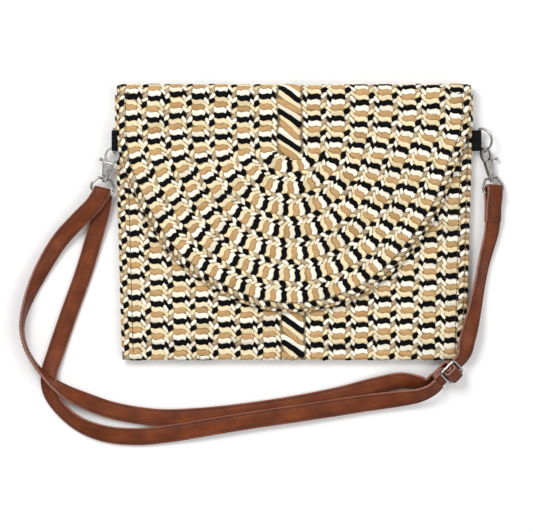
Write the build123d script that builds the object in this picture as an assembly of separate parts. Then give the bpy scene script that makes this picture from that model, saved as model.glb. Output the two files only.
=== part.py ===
from build123d import *
import math
import os

# A flat woven envelope purse lying on its back, with a flap, two side rings and a clipped-on strap.
# X runs across the purse, Y from its bottom edge to the fold of the flap, Z up out of its front.
# The origin is on the outside of the rear panel. All dimensions are in millimetres.

# Purse body
TOP_HALF_WIDTH = 150.0
BOTTOM_HALF_WIDTH = 143.5
TOP_Y = 116.0
BOTTOM_Y = -114.0
CORNER_RADIUS = 8.0
WEAVE = 2.6  # thickness of the sewn braid
LINING = 0.5
SEAM_Z = 5.6  # height of the side seams, where the two panels are sewn flat together
SEAM_STRIP = 9.0  # width of that flat sewn strip
SLOPE = 11.0  # from the strip to the flat of a panel
MOUTH_Y = 99.0

# Flap
FLAP_GAP = 2.0  # between the front panel and the flap, which the snap fills
FLAP_HALF_WIDTH = 147.5
FLAP_DROOP = 1.8
FLAP_DROOP_X = 128.0
FLAP_EDGE_LEFT = [(-139.5, 38), (-121, -1), (-103, -27), (-71, -52), (-31, -70)]
FLAP_EDGE_RIGHT = [(20, -71.5), (57, -58.5), (85.5, -37), (111, -5), (126, 22), (140, 66)]
FLAP_LEFT_Y = 76.0
FLAP_RIGHT_Y = 96.0
FLAP_LINING_INSET = 3.5

# Slip pocket
POCKET_WIDTH = 150.0
POCKET_TOP_Y = 52.0
POCKET_BOTTOM_Y = -58.0
POCKET_SHEET = 0.6

# Magnetic snap
SNAP_X = 12.0
SNAP_Y = -50.0
SNAP_RADIUS = 9.0
SNAP_WASHER_RADIUS = 8.0
SNAP_WASHER = 0.7
SNAP_RECESS = 1.0
SNAP_PROUD = 0.8
STUD_RADIUS = 2.9
STUD_LENGTH = 1.2
PRONG = 0.8
PRONG_WIDTH = 4.0
PRONG_X = 4.6

# Webbing tabs and D-rings
RIGHT_TAB_Y = 69.2
LEFT_TAB_Y = 69.0
TAB_WIDTH = 17.4
TAB_LAYERS = 2.4
TAB_ROOT = 139.8
TAB_LOOP = 2.1
TAB_NOTCH = 3.2  # where the left clasp presses the webbing's root aside
RING_WIRE = 1.0  # radius
RING_HALF_HEIGHT = 9.9
RING_LEG = 1.6
RIGHT_RING_X = 154.7
RIGHT_RING_Z = 7.4
RIGHT_RING_TILT = 26.0
LEFT_RING_X = -150.3
LEFT_RING_Z = 13.0
LEFT_RING_TILT = -84.0
PIN_CLEARANCE = 0.08

# Swivel snap hooks: local y runs from the swivel up to the claw, local x towards the gate
HOOK_DEPTH = 1.3  # half thickness of the claw
BARREL_DEPTH = 2.0
CLAW_X = -1.6
CLAW_Y = 18.4
CLAW_INNER = (4.6, 5.2)
CLAW_RIM = 1.8
GATE_DEPTH = 0.75
GATE_PIVOT = (3.0, 10.6)
GATE_FROM = -38.0
GATE_REACH = 12.0  # from its pivot to its tip, which swings in under the fixed nose
GATE_GAP = 0.15
GATE_PIN_RADIUS = 0.6
POST_RADIUS = 1.2
POST_HEAD = 2.1
EYE_WIRE = 1.1
EYE_HALF_WIDTH = 9.5
EYE_BAR_Y = -12.6
RIGHT_HOOK = (164.7, 39.3, 7.25)
RIGHT_HOOK_TILT = 10.0
RIGHT_HOOK_ROLL = 46.0
RIGHT_EYE_ROLL = 28.0
RIGHT_END_TILT = -2.0
RIGHT_END_ROLL = 28.5
LEFT_HOOK = (-157.8, 38.8, 9.2)
LEFT_HOOK_TILT = -13.2
LEFT_HOOK_ROLL = 172.0
LEFT_EYE_ROLL = 0.0

# Strap: a flat band, made as a round tube of the same section where it runs free
STRAP_WIDTH = 14.6
STRAP = 2.4
TUBE_RADIUS = 3.5
RIGHT_END_LENGTH = 25.4  # from the eye's bar
RIGHT_END_SLACK = 1.8
LEFT_LOOP_SLACK = 0.4
END_GAP = 0.2
LEFT_LOOP_LENGTH = 12.0
FOLD_RUN = 7.0  # over which the sewn layers come together
SIDE_BY_SIDE = 3.7
RUN_OUT = 8.0
SLIDER_AT = (131.5, -124.0, 13.6)
SLIDER_DIRECTION = 45.0
SLIDER_ROLL = 48.0
SLIDER_WIRE = 1.1
SLIDER_HALF_LENGTH = 7.6
SLIDER_HALF_WIDTH = 8.8
SLIDER_BAR = 1.0
SLIDER_END = 14.0

# Routes of the free strap, chosen by hand
RIGHT_RUN = [
    (145.6, -95, 13), (149, -78, 11.8), (152.8, -60, 9.5), (156.5, -40, 7.6), (159.5, -22, 7),
]
OUTER_RUN = [
    (92, -148, 7), (60, -153, 4), (22, -159, 3.7), (-22, -165.5, 3.6),
    (-70, -172.5, 3.6), (-112, -178, 3.6), (-150, -177, 3.6), (-179, -166, 3.6),
    (-197, -147, 3.6), (-205, -124, 3.6), (-198, -96, 3.7), (-186, -66, 4.2),
    (-174, -36, 5),
]
INNER_RUN = [
    (-183, -16, 6.6), (-200, -35, 6), (-214, -56, 6.2), (-223, -78, 8),
    (-223, -101, 12.4), (-211, -121, 14.8), (-195, -138, 14.4), (-175, -149.5, 9.5),
    (-150, -157, 4.6), (-115, -162, 3.6), (-78, -162.5, 3.6), (-35, -157.5, 3.6),
    (8, -150, 3.6), (48, -141.5, 3.8), (84, -132.5, 4.2),
]

FRONT_Z = 2 * SEAM_Z  # outside of the front panel
FLAP_LINING_Z = FRONT_Z + FLAP_GAP
FLAP_Z = FLAP_LINING_Z + LINING
THICKNESS = FLAP_Z + WEAVE
HINGE_Z = THICKNESS / 2
HINGE_Y = TOP_Y - HINGE_Z

os.makedirs("parts", exist_ok=True)


def save(name, solid):
    export_step(solid, f"parts/{name}.step")


def block(low, high):
    size = [b - a for a, b in zip(low, high)]
    middle = [(a + b) / 2 for a, b in zip(low, high)]
    return Pos(*middle) * Box(*size)


def rod(x, y, low_z, high_z, radius):
    return Pos(x, y, (low_z + high_z) / 2) * Cylinder(radius, high_z - low_z)


def half_width(y):
    share = (y - BOTTOM_Y) / (TOP_Y - BOTTOM_Y)
    return BOTTOM_HALF_WIDTH + share * (TOP_HALF_WIDTH - BOTTOM_HALF_WIDTH)


def outline(inset, end_y):
    """The purse's tapered outline, moved in by inset at the sides and the bottom, and open to end_y."""
    low = BOTTOM_Y + inset
    wide = half_width(end_y) - inset
    narrow = half_width(low) - inset
    return [(-narrow, low), (narrow, low), (wide, end_y), (-wide, end_y)]


def flat_face(points, z):
    return Plane.XY.offset(z) * make_face(Polyline(*points, close=True))


def frustum(low_z, low_inset, high_z, high_inset, end_y):
    faces = [flat_face(outline(low_inset, end_y), low_z), flat_face(outline(high_inset, end_y), high_z)]
    return loft(faces, ruled=True)


def tray(end_y):
    """One panel, face down: a flat sewn strip along the seam, a slope and a flat."""
    strip = extrude(flat_face(outline(0, end_y), SEAM_Z - WEAVE), WEAVE)
    corners = strip.edges().filter_by(Axis.Z).sort_by(Axis.Y)[:2]
    strip = fillet(corners, CORNER_RADIUS)
    flat = SEAM_STRIP + SLOPE
    bowl = frustum(0, flat, SEAM_Z - WEAVE, SEAM_STRIP, end_y)
    return strip + bowl - cavity(end_y)


def cavity(end_y, inset=0.0):
    """The space inside a panel, smaller by inset."""
    flat = SEAM_STRIP + SLOPE + inset * 0.6
    return frustum(WEAVE + inset, flat, SEAM_Z, SEAM_STRIP + inset * 1.8, end_y)


def face_up(solid):
    return solid.mirror(Plane.XY.offset(SEAM_Z))


def tab_slots():
    slots = []
    for side, tab_y in ((-1, LEFT_TAB_Y), (1, RIGHT_TAB_Y)):
        low, high = sorted((side * TAB_ROOT, side * (TOP_HALF_WIDTH + 5)))
        low_z, high_z = SEAM_Z - TAB_LAYERS / 2, SEAM_Z + TAB_LAYERS / 2
        half = TAB_WIDTH / 2
        slots.append(block((low, tab_y - half, low_z), (high, tab_y + half, high_z)))
    return slots


def rear_panel():
    return tray(HINGE_Y) - tab_slots()


def front_panel():
    solid = face_up(tray(MOUTH_Y)) - tab_slots()
    recess = rod(SNAP_X, SNAP_Y, FRONT_Z - SNAP_RECESS, FRONT_Z + 1, SNAP_RADIUS)
    low = FRONT_Z - WEAVE
    washer = rod(SNAP_X, SNAP_Y, low - 1, low + SNAP_WASHER, SNAP_WASHER_RADIUS)
    return solid - recess - washer - prongs(low, FRONT_Z)


def lining(end_y):
    return cavity(end_y) - cavity(end_y, LINING)


def slip_pocket():
    low_z = WEAVE + LINING
    half = POCKET_WIDTH / 2
    sheet = block((-half, POCKET_BOTTOM_Y, low_z), (half, POCKET_TOP_Y, low_z + POCKET_SHEET))
    return fillet(sheet.edges().filter_by(Axis.Z).sort_by(Axis.Y)[:2], CORNER_RADIUS)


def flap_outline(inset):
    """The flap in plan: straight sides from the fold, and one smooth rounded end."""
    left = (-FLAP_HALF_WIDTH, FLAP_LEFT_Y)
    right = (FLAP_HALF_WIDTH, FLAP_RIGHT_Y)
    end = Spline(left, *FLAP_EDGE_LEFT, *FLAP_EDGE_RIGHT, right, tangents=[(0.05, -1), (0.1, 1)])
    if inset:
        end = Spline([end @ (i / 12) + inset * inward(end % (i / 12)) for i in range(13)])
    top = HINGE_Y + 20
    sides = Polyline(end @ 1, ((end @ 1).X, top), ((end @ 0).X, top), end @ 0)
    return make_face(end + sides)


def inward(direction):
    return Vector(-direction.Y, direction.X)


def drooping(low_z, thickness):
    """A sheet across the purse, flat in the middle and sloping down to its two long sides."""
    wide = FLAP_HALF_WIDTH + 20
    drop = FLAP_DROOP * (wide - FLAP_DROOP_X) / (FLAP_HALF_WIDTH - FLAP_DROOP_X)
    under = [(-wide, low_z - drop), (-FLAP_DROOP_X, low_z), (FLAP_DROOP_X, low_z), (wide, low_z - drop)]
    over = [(x, z + thickness) for x, z in reversed(under)]
    section = Plane.XZ * make_face(Polyline(*under, *over, close=True))
    return extrude(section, 150, both=True)


def flap_sheet(low_z, thickness, inset):
    column = extrude(flap_outline(inset), THICKNESS + 5)
    below_fold = block((-200, -150, -1), (200, HINGE_Y, THICKNESS + 6))
    return drooping(low_z, thickness) & column & below_fold


def flap_panel():
    solid = flap_sheet(FLAP_Z, WEAVE, 0)
    return solid - rod(SNAP_X, SNAP_Y, FLAP_Z - 1, FLAP_Z + SNAP_WASHER, SNAP_WASHER_RADIUS)


def flap_lining():
    return flap_sheet(FLAP_LINING_Z, LINING, FLAP_LINING_INSET) - prongs(FLAP_LINING_Z - 1, FLAP_Z + 1)


def half_tube(outer, inner, half_length):
    """Half a tube round the hinge line, on the side away from the purse."""
    tube = Cylinder(outer, 2 * half_length) - Cylinder(inner, 2 * half_length + 2)
    tube = Pos(0, HINGE_Y, HINGE_Z) * Rot(0, 90, 0) * tube
    reach = 2 * outer
    far_half = block((-half_length, HINGE_Y, HINGE_Z - reach), (half_length, HINGE_Y + reach, HINGE_Z + reach))
    return tube & far_half


def prongs(low_z, high_z):
    half = PRONG_WIDTH / 2
    legs = []
    for side in (-1, 1):
        low_x, high_x = sorted((SNAP_X + side * PRONG_X, SNAP_X + side * (PRONG_X + PRONG)))
        legs.append(block((low_x, SNAP_Y - half, low_z), (high_x, SNAP_Y + half, high_z)))
    return legs


def snap_socket():
    low, high = FRONT_Z - SNAP_RECESS, FRONT_Z + SNAP_PROUD
    cup = rod(SNAP_X, SNAP_Y, low, high, SNAP_RADIUS)
    hollow = rod(SNAP_X, SNAP_Y, low, high - 0.5, SNAP_RADIUS - 0.7)
    collar = rod(SNAP_X, SNAP_Y, low, high, STUD_RADIUS + 0.9)
    hole = rod(SNAP_X, SNAP_Y, low - 1, high + 1, STUD_RADIUS + 0.2)
    base = rod(SNAP_X, SNAP_Y, low, low + 0.3, SNAP_RADIUS - 0.7)
    return cup - hollow + collar + base - hole + prongs(FRONT_Z - WEAVE, low + 0.3)


def snap_magnet():
    low, high = FRONT_Z - SNAP_RECESS + 0.3, FRONT_Z + SNAP_PROUD - 0.5
    ring = rod(SNAP_X, SNAP_Y, low, high, SNAP_RADIUS - 0.7)
    return ring - rod(SNAP_X, SNAP_Y, low - 1, high + 1, STUD_RADIUS + 0.9)


def snap_washer(low_z):
    disc = rod(SNAP_X, SNAP_Y, low_z, low_z + SNAP_WASHER, SNAP_WASHER_RADIUS)
    hole = rod(SNAP_X, SNAP_Y, low_z - 1, low_z + 2, STUD_RADIUS)
    return disc - hole - prongs(low_z - 1, low_z + 2)


def snap_stud():
    low, high = FRONT_Z + SNAP_PROUD + 0.1, FLAP_LINING_Z
    plate = rod(SNAP_X, SNAP_Y, low, high, SNAP_RADIUS)
    pin = rod(SNAP_X, SNAP_Y, low - STUD_LENGTH, low, STUD_RADIUS)
    pin = chamfer(pin.edges().sort_by(Axis.Z)[0], 0.4)
    return plate + pin + prongs(high, FLAP_Z + SNAP_WASHER)


def tab(side, tab_y, ring_x, ring_z):
    """Two layers of webbing sewn into the side seam and folded round the straight bar of the ring."""
    low_z, high_z = SEAM_Z - TAB_LAYERS / 2, SEAM_Z + TAB_LAYERS / 2
    half = TAB_WIDTH / 2
    edge = side * (half_width(tab_y + half) + 0.1)
    inside = side * TAB_ROOT
    root = [(inside, low_z), (edge, low_z), (edge, high_z), (inside, high_z)]
    raised = ring_z > high_z + TAB_LOOP
    if raised:
        out = ring_x - side * RING_WIRE / 2
        stem = [(edge, low_z), (out, low_z), (out, ring_z), (edge, ring_z)]
    else:
        stem = [(edge, low_z), (ring_x, ring_z - TAB_LOOP), (ring_x, ring_z + TAB_LOOP), (edge, high_z)]
    stem_width = TAB_WIDTH - TAB_NOTCH if raised else TAB_WIDTH
    upright = Pos(0, tab_y, 0) * Plane.XZ.location
    solid = extrude(upright * make_face(Polyline(*root, close=True)), half, both=True)
    shifted = Pos(0, (TAB_WIDTH - stem_width) / 2, 0)
    stem_face = upright * make_face(Polyline(*stem, close=True))
    solid = solid + shifted * extrude(stem_face, stem_width / 2, both=True)
    bar = Pos(ring_x, tab_y, ring_z) * Rot(90, 0, 0)
    solid = solid + bar * Cylinder(TAB_LOOP, TAB_WIDTH)
    return solid - bar * Cylinder(RING_WIRE + PIN_CLEARANCE, TAB_WIDTH + 2)


def ring(side, tab_y, ring_x, ring_z, tilt):
    """A wire D whose straight bar turns in its tab."""
    high = RING_HALF_HEIGHT
    legs = [(RING_LEG, -high), (0, -high), (0, high), (RING_LEG, high)]
    bow = ThreePointArc(legs[3], (RING_LEG + high, 0), legs[0])
    path = Wire(FilletPolyline(*legs, radius=RING_LEG * 0.9).edges() + bow.edges())
    section = Plane(origin=path @ 0, z_dir=path % 0) * Circle(RING_WIRE)
    wire = sweep(section, path=path)
    turn = Rot(0, -tilt, 0)
    if side < 0:
        turn = Rot(0, tilt, 0) * Rot(0, 180, 0)
    return Pos(ring_x, tab_y, ring_z) * turn * wire


def hook_plane(origin, tilt, roll):
    """The hook's own frame: y up its axis, turned by tilt in plan and rolled about that axis."""
    t, r = math.radians(tilt), math.radians(roll)
    x_dir = (math.cos(t) * math.cos(r), math.sin(t) * math.cos(r), -math.sin(r))
    z_dir = (math.cos(t) * math.sin(r), math.sin(t) * math.sin(r), math.cos(r))
    return Location(Plane(origin=origin, x_dir=x_dir, z_dir=z_dir))


def along_y(radius, low, high, x=0.0, z=0.0):
    return Pos(x, (low + high) / 2, z) * Rot(90, 0, 0) * Cylinder(radius, high - low)


def claw_ring(depth, inner_grow=0.0):
    outer = Ellipse(CLAW_INNER[0] + CLAW_RIM, CLAW_INNER[1] + CLAW_RIM)
    inner = Ellipse(CLAW_INNER[0] + inner_grow, CLAW_INNER[1] + inner_grow)
    return extrude(Pos(CLAW_X, CLAW_Y) * (outer - inner), depth, both=True)


def sector(start, end, depth):
    """A wedge of the claw, from its centre out, between two angles."""
    reach = 14.0
    middle = (start + end) / 2
    angles = [math.radians(a) for a in (start, middle, end)]
    rim = [(reach * math.cos(a), reach * math.sin(a)) for a in angles]
    face = make_face(Polyline((0, 0), *rim, close=True))
    return extrude(Pos(CLAW_X, CLAW_Y) * face, depth, both=True)


def hook_body():
    sides = [(-3.0, 1.4), (3.0, 1.4), (4.6, 12.6), (-5.2, 13.2)]
    barrel = extrude(make_face(Polyline(*sides, close=True)), BARREL_DEPTH, both=True)
    barrel = fillet(barrel.edges().filter_by(Axis.Z, reverse=True).filter_by(lambda e: e.length > 5), 0.9)
    body = barrel + along_y(3.0, 0, 2.0)
    opening = extrude(Pos(CLAW_X, CLAW_Y) * Ellipse(*CLAW_INNER), 4, both=True)
    body = body + claw_ring(HOOK_DEPTH) - opening
    x, y = GATE_PIVOT
    body = body - (sector(GATE_FROM, 75, 4) & rod(x, y, -4, 4, GATE_REACH + 0.2))
    slot = extrude(Pos(4.65, 12.0) * Rectangle(9.1, 9.0), GATE_DEPTH + GATE_GAP, both=True)
    body = body - slot
    body = body - rod(x, y, -4, 4, GATE_PIN_RADIUS)
    body = body - along_y(0.75, 3.4, 8.0, x=2.2)
    head = along_y(POST_HEAD, -4.6, -3.1)
    head = fillet(head.edges().sort_by(Axis.Y)[0], 0.9)
    return body + along_y(POST_RADIUS, -3.2, 0.5) + head


def gate():
    x, y = GATE_PIVOT
    blade = claw_ring(GATE_DEPTH) & sector(GATE_FROM - 12, 75, 4) & rod(x, y, -4, 4, GATE_REACH)
    lever = make_face(Polyline((x - 1.0, y), (x + 1.2, y), (4.7, 14.6), (1.9, 13.6), close=True))
    blade = blade + extrude(lever, GATE_DEPTH, both=True) + rod(x, y, -GATE_DEPTH, GATE_DEPTH, 1.35)
    stem = Pos(4.2, 13.6, 0) * Rot(0, 45, 0) * (Pos(0, 0, 2.2) * Cylinder(0.75, 4.4))
    knob = Pos(4.2, 13.6, 0) * Rot(0, 45, 0) * (Pos(0, 0, 4.6) * Sphere(1.5))
    blade = blade + stem + knob
    return blade - rod(x, y, -4, 4, GATE_PIN_RADIUS + PIN_CLEARANCE)


def gate_pin():
    return rod(*GATE_PIVOT, -BARREL_DEPTH, BARREL_DEPTH, GATE_PIN_RADIUS)


def gate_spring():
    """The coil that closes the gate, as a plain sleeve in its bore."""
    return along_y(0.7, 3.6, 7.2, x=2.2) - along_y(0.4, 3.0, 8.0, x=2.2)


def swivel_eye():
    half = EYE_HALF_WIDTH
    corners = [
        (half, EYE_BAR_Y), (half, -7.2), (5.6, -1.6),
        (-5.6, -1.6), (-half, -7.2), (-half, EYE_BAR_Y),
    ]
    path = FilletPolyline(*corners, radius=2.0, close=True)
    section = Plane(origin=path @ 0, z_dir=path % 0) * Circle(EYE_WIRE)
    loop = sweep(section, path=path)
    boss = along_y(2.8, -2.9, -0.3)
    return loop + boss - along_y(POST_RADIUS + PIN_CLEARANCE, -4, 1)


def band_loop(length, converge, slack):
    """The strap folded round the bar of an eye at the origin, and its two layers sewn together further on."""
    inner = EYE_WIRE + 0.2
    outer = inner + STRAP
    near = STRAP + 0.04 if converge else outer
    gap = near - STRAP
    run_y = -slack - FOLD_RUN
    hull = [(slack, outer), (-slack, outer), (run_y, near), (-length, near)]
    slot = [(slack, inner), (-slack, inner), (run_y, gap), (1 - length, gap)]
    face = make_face(Polyline(*hull, *[(y, -z) for y, z in reversed(hull)], close=True))
    face = face + Pos(slack, 0) * Circle(outer)
    face = face - make_face(Polyline(*slot, *[(y, -z) for y, z in reversed(slot)], close=True))
    face = face - Pos(slack, 0) * Circle(inner)
    upright = Plane(origin=(0, 0, 0), x_dir=(0, 1, 0), z_dir=(1, 0, 0))
    return extrude(upright * face, STRAP_WIDTH / 2, both=True)


def slider_plane():
    """The slider's frame: x along the strap, y along its bars, z out of its face."""
    d, r = math.radians(SLIDER_DIRECTION), math.radians(SLIDER_ROLL)
    z_dir = (math.sin(d) * math.sin(r), -math.cos(d) * math.sin(r), math.cos(r))
    return Location(Plane(origin=SLIDER_AT, x_dir=(math.cos(d), math.sin(d), 0), z_dir=z_dir))


def strap_slider():
    half, wide = SLIDER_HALF_LENGTH, SLIDER_HALF_WIDTH
    corners = [(half, -wide), (half, wide), (-half, wide), (-half, -wide)]
    path = FilletPolyline(*corners, radius=1.6, close=True)
    section = Plane(origin=path @ 0, z_dir=path % 0) * Circle(SLIDER_WIRE)
    bar = Rot(90, 0, 0) * Cylinder(SLIDER_BAR, 2 * wide)
    return sweep(section, path=path) + bar


def slider_pass():
    """The running strap, under both ends of the slider and over its middle bar."""
    points = [(-SLIDER_END, -2.5), (-5.45, -2.5), (-4.3, 4.9), (4.3, 4.9), (5.45, -2.5), (SLIDER_END, -2.5)]
    line = FilletPolyline(*points, radius=1.6)
    start = Plane(origin=line @ 0, x_dir=(0, 0, 1), z_dir=line % 0)
    band = sweep(start * Rectangle(STRAP_WIDTH, STRAP), path=line)
    upright = Plane(origin=(0, 0, 0), x_dir=(1, 0, 0), z_dir=(0, -1, 0))
    return upright.location * band


def slider_loop():
    """The strap's end, folded round the slider's middle bar and sewn back on itself."""
    inner = SLIDER_BAR + 0.1
    outer = inner + STRAP
    low, high = -3.85 - 2 * STRAP, -3.85
    tail = [
        (1.5, low), (-SLIDER_END, low), (-SLIDER_END, high),
        (-3.2, high), (-outer + 0.3, 0.4), (2.6, -1.6),
    ]
    face = make_face(Polyline(*tail, close=True)) + Circle(outer)
    under = make_face(Polyline((0.5, low - 1), (6, low - 1), (6, 0), (outer + 0.2, 0), close=True))
    face = face - Circle(inner) - under
    upright = Plane(origin=(0, 0, 0), x_dir=(1, 0, 0), z_dir=(0, -1, 0))
    return extrude(upright * face, STRAP_WIDTH / 2, both=True)


def tube(points, name):
    """Straight runs joined by tangent arcs, each as large as its two runs allow."""
    radii = []
    for a, b, c in zip(points, points[1:], points[2:]):
        into, out = Vector(*b) - Vector(*a), Vector(*c) - Vector(*b)
        half_turn = math.radians(into.get_angle(out)) / 2
        radii.append(0.45 * min(into.length, out.length) / math.tan(half_turn))
    path = FilletPolyline(*points, radius=radii)
    solid = sweep(Plane(origin=path @ 0, z_dir=path % 0) * Circle(TUBE_RADIUS), path=path)
    section = math.pi * TUBE_RADIUS**2
    share = solid.volume / section / path.length
    print(name, "length", round(path.length, 1), "volume share", round(share, 4))
    print(name, "radii", [round(r) for r in radii])
    return solid


def place(location, point):
    return tuple((location * Pos(*point)).position)


def run_out(location, point, direction):
    """A start point, and a second one straight out of it, so that a tube meets its neighbour squarely."""
    further = [a + RUN_OUT * b for a, b in zip(point, direction)]
    return [place(location, point), place(location, further)]


save("rear_panel", rear_panel())
save("front_panel", front_panel())
save("rear_lining", lining(HINGE_Y))
save("front_lining", face_up(lining(MOUTH_Y)))
save("slip_pocket", slip_pocket())
save("flap_fold", half_tube(HINGE_Z, HINGE_Z - WEAVE, FLAP_HALF_WIDTH))
save("fold_lining", half_tube(HINGE_Z - WEAVE, HINGE_Z - WEAVE - LINING, FLAP_HALF_WIDTH - FLAP_LINING_INSET))
save("flap_panel", flap_panel())
save("flap_lining", flap_lining())
save("snap_socket", snap_socket())
save("snap_magnet", snap_magnet())
save("snap_socket_washer", snap_washer(FRONT_Z - WEAVE))
save("snap_stud", snap_stud())
save("snap_stud_washer", snap_washer(FLAP_Z))
save("right_tab", tab(1, RIGHT_TAB_Y, RIGHT_RING_X, RIGHT_RING_Z))
save("left_tab", tab(-1, LEFT_TAB_Y, LEFT_RING_X, LEFT_RING_Z))
save("right_ring", ring(1, RIGHT_TAB_Y, RIGHT_RING_X, RIGHT_RING_Z, RIGHT_RING_TILT))
save("left_ring", ring(-1, LEFT_TAB_Y, LEFT_RING_X, LEFT_RING_Z, LEFT_RING_TILT))

right_hook = hook_plane(RIGHT_HOOK, RIGHT_HOOK_TILT, RIGHT_HOOK_ROLL)
left_hook = hook_plane(LEFT_HOOK, LEFT_HOOK_TILT, LEFT_HOOK_ROLL)
right_eye = hook_plane(RIGHT_HOOK, RIGHT_HOOK_TILT, RIGHT_EYE_ROLL)
left_eye = hook_plane(LEFT_HOOK, LEFT_HOOK_TILT, LEFT_EYE_ROLL)
for side, hook, eye in (("right", right_hook, right_eye), ("left", left_hook, left_eye)):
    save(f"{side}_hook", hook * hook_body())
    save(f"{side}_gate", hook * gate())
    save(f"{side}_gate_pin", hook * gate_pin())
    save(f"{side}_gate_spring", hook * gate_spring())
    save(f"{side}_eye", eye * swivel_eye())

slider = slider_plane()
save("strap_slider", slider * strap_slider())
save("strap_slider_pass", slider * slider_pass())
save("strap_slider_loop", slider * slider_loop())
right_bar = place(right_eye, (0, EYE_BAR_Y, 0))
left_bar = place(left_eye, (0, EYE_BAR_Y, 0))
right_fold = hook_plane(right_bar, RIGHT_END_TILT, RIGHT_END_ROLL)
left_fold = hook_plane(left_bar, LEFT_HOOK_TILT, LEFT_EYE_ROLL)
save("strap_right_end", right_fold * band_loop(RIGHT_END_LENGTH, True, RIGHT_END_SLACK))
save("strap_left_loop", left_fold * band_loop(LEFT_LOOP_LENGTH, False, LEFT_LOOP_SLACK))

right_start = run_out(slider, (SLIDER_END, 0, -2.5), (1, 0, 0))
right_end = run_out(right_fold, (0, -RIGHT_END_LENGTH - END_GAP, 0), (0, -1, 0))
outer_start = run_out(slider, (-SLIDER_END, 0, -0.9), (-1, 0, 0))
outer_end = run_out(left_fold, (SIDE_BY_SIDE, -LEFT_LOOP_LENGTH, 0), (0, -1, 0))
inner_start = run_out(left_fold, (-SIDE_BY_SIDE, -LEFT_LOOP_LENGTH, 0), (0, -1, 0))
inner_end = run_out(slider, (-SLIDER_END, 0, -8.2), (-1, 0, 0))
save("strap_right_run", tube([*right_start, *RIGHT_RUN, *reversed(right_end)], "strap_right_run"))
save("strap_outer_run", tube([*outer_start, *OUTER_RUN, *reversed(outer_end)], "strap_outer_run"))
save("strap_inner_run", tube([*inner_start, *INNER_RUN, *reversed(inner_end)], "strap_inner_run"))
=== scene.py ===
"""The looks of a woven straw crossbody purse, lying on its back with its strap laid round it."""
import math

import bpy
import numpy as np
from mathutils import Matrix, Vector


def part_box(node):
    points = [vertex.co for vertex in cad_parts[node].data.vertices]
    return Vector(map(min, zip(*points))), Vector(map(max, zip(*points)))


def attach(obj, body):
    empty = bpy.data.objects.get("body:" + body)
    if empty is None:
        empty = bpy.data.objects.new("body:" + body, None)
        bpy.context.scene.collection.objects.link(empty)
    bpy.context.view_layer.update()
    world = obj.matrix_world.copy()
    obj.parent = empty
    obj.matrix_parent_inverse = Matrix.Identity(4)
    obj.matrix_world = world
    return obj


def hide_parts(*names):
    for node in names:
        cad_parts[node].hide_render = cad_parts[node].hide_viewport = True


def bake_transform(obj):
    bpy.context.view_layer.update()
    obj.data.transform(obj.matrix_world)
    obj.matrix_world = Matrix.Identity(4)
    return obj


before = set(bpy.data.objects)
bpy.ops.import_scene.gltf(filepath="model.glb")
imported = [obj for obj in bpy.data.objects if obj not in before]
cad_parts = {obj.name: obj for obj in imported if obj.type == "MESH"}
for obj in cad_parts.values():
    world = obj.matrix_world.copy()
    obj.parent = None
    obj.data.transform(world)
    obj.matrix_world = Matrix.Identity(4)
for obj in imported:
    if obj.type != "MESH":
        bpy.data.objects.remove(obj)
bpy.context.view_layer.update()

MM = 0.001
rng = np.random.default_rng(7)

# The purse, as the CAD has it
TOP_HALF, BOTTOM_HALF = 150 * MM, 143.5 * MM
TOP_Y, BOTTOM_Y, MOUTH_Y = 116 * MM, -114 * MM, 99 * MM
WEAVE, SEAM_Z, FRONT_Z = 2.6 * MM, 5.6 * MM, 11.2 * MM
EDGE = 2.6 * MM  # radius of the rounded sides and bottom
HINGE_Y, HINGE_Z = 107.85 * MM, 8.15 * MM
FLAP_TOP, FLAP_HALF, FLAP_RIM = 16.3 * MM, 147.5 * MM, 1.3 * MM
FLAP_CENTRE_X, FLAP_CENTRE_Y = -3.4 * MM, 50 * MM
FOLD_REACH = math.pi * HINGE_Z  # how far the straw runs round the fold
STRAP_WIDTH, STRAP_THICK = 14.6 * MM, 2.4 * MM

# The braid: columns of folded paper straw in four tones, which repeat every fourth step
STEP = 4.475 * MM
DIAGONAL_STEP = 5.1 * MM
PILLOW = 0.9 * MM  # height of a strand
COLUMN_HALF = 9.7 * MM
BODY_COLUMNS = [(20.6 + 19.45 * i) * MM for i in range(7)]
BODY_CENTRE = -0.8 * MM
HINGE_CLEAR = 2.6 * MM  # the strands this near the hinge line belong to the fold
SHEET_CLEAR = 0.5 * MM  # the sheets under them end this near the hinge line
LIFT = 0.5 * MM  # the back's straw rests on the table, so its under layer sits a little above
SEW_HEIGHT = 0.62 * MM  # how far a seam's thread stands over the weave


# Camera and light

def set_camera():
    data = bpy.data.cameras.new("camera")
    height, seen_width = 3.0, 0.4467
    data.sensor_width = 36
    data.lens = 36 * height / seen_width
    camera = bpy.data.objects.new("camera", data)
    camera.location = (-0.023, -0.0356, height)
    bpy.context.scene.collection.objects.link(camera)
    bpy.context.scene.camera = camera


def area_light(name, place, size, power):
    """A square light that faces the purse."""
    data = bpy.data.lights.new(name, "AREA")
    data.size, data.energy = size, power
    light = bpy.data.objects.new(name, data)
    light.location = place
    light.rotation_euler = (-Vector(place)).to_track_quat("-Z", "Y").to_euler()
    bpy.context.scene.collection.objects.link(light)


def set_studio():
    world = bpy.data.worlds.new("studio")
    world.use_nodes = True
    background = world.node_tree.nodes["Background"].inputs
    background[0].default_value = (1, 1, 1, 1)
    background[1].default_value = 0.52
    bpy.context.scene.world = world
    bpy.context.scene.view_settings.view_transform = "Standard"
    area_light("key", (-0.7, 0.9, 1.5), 0.8, 21)
    area_light("fill", (0.9, -0.5, 1.3), 1.2, 8)


# Materials

WHITE = (1, 1, 1)


def grey(value):
    return (value,) * 3


def shade(colour, by):
    return tuple(min(1.0, c * by) for c in colour)


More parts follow.
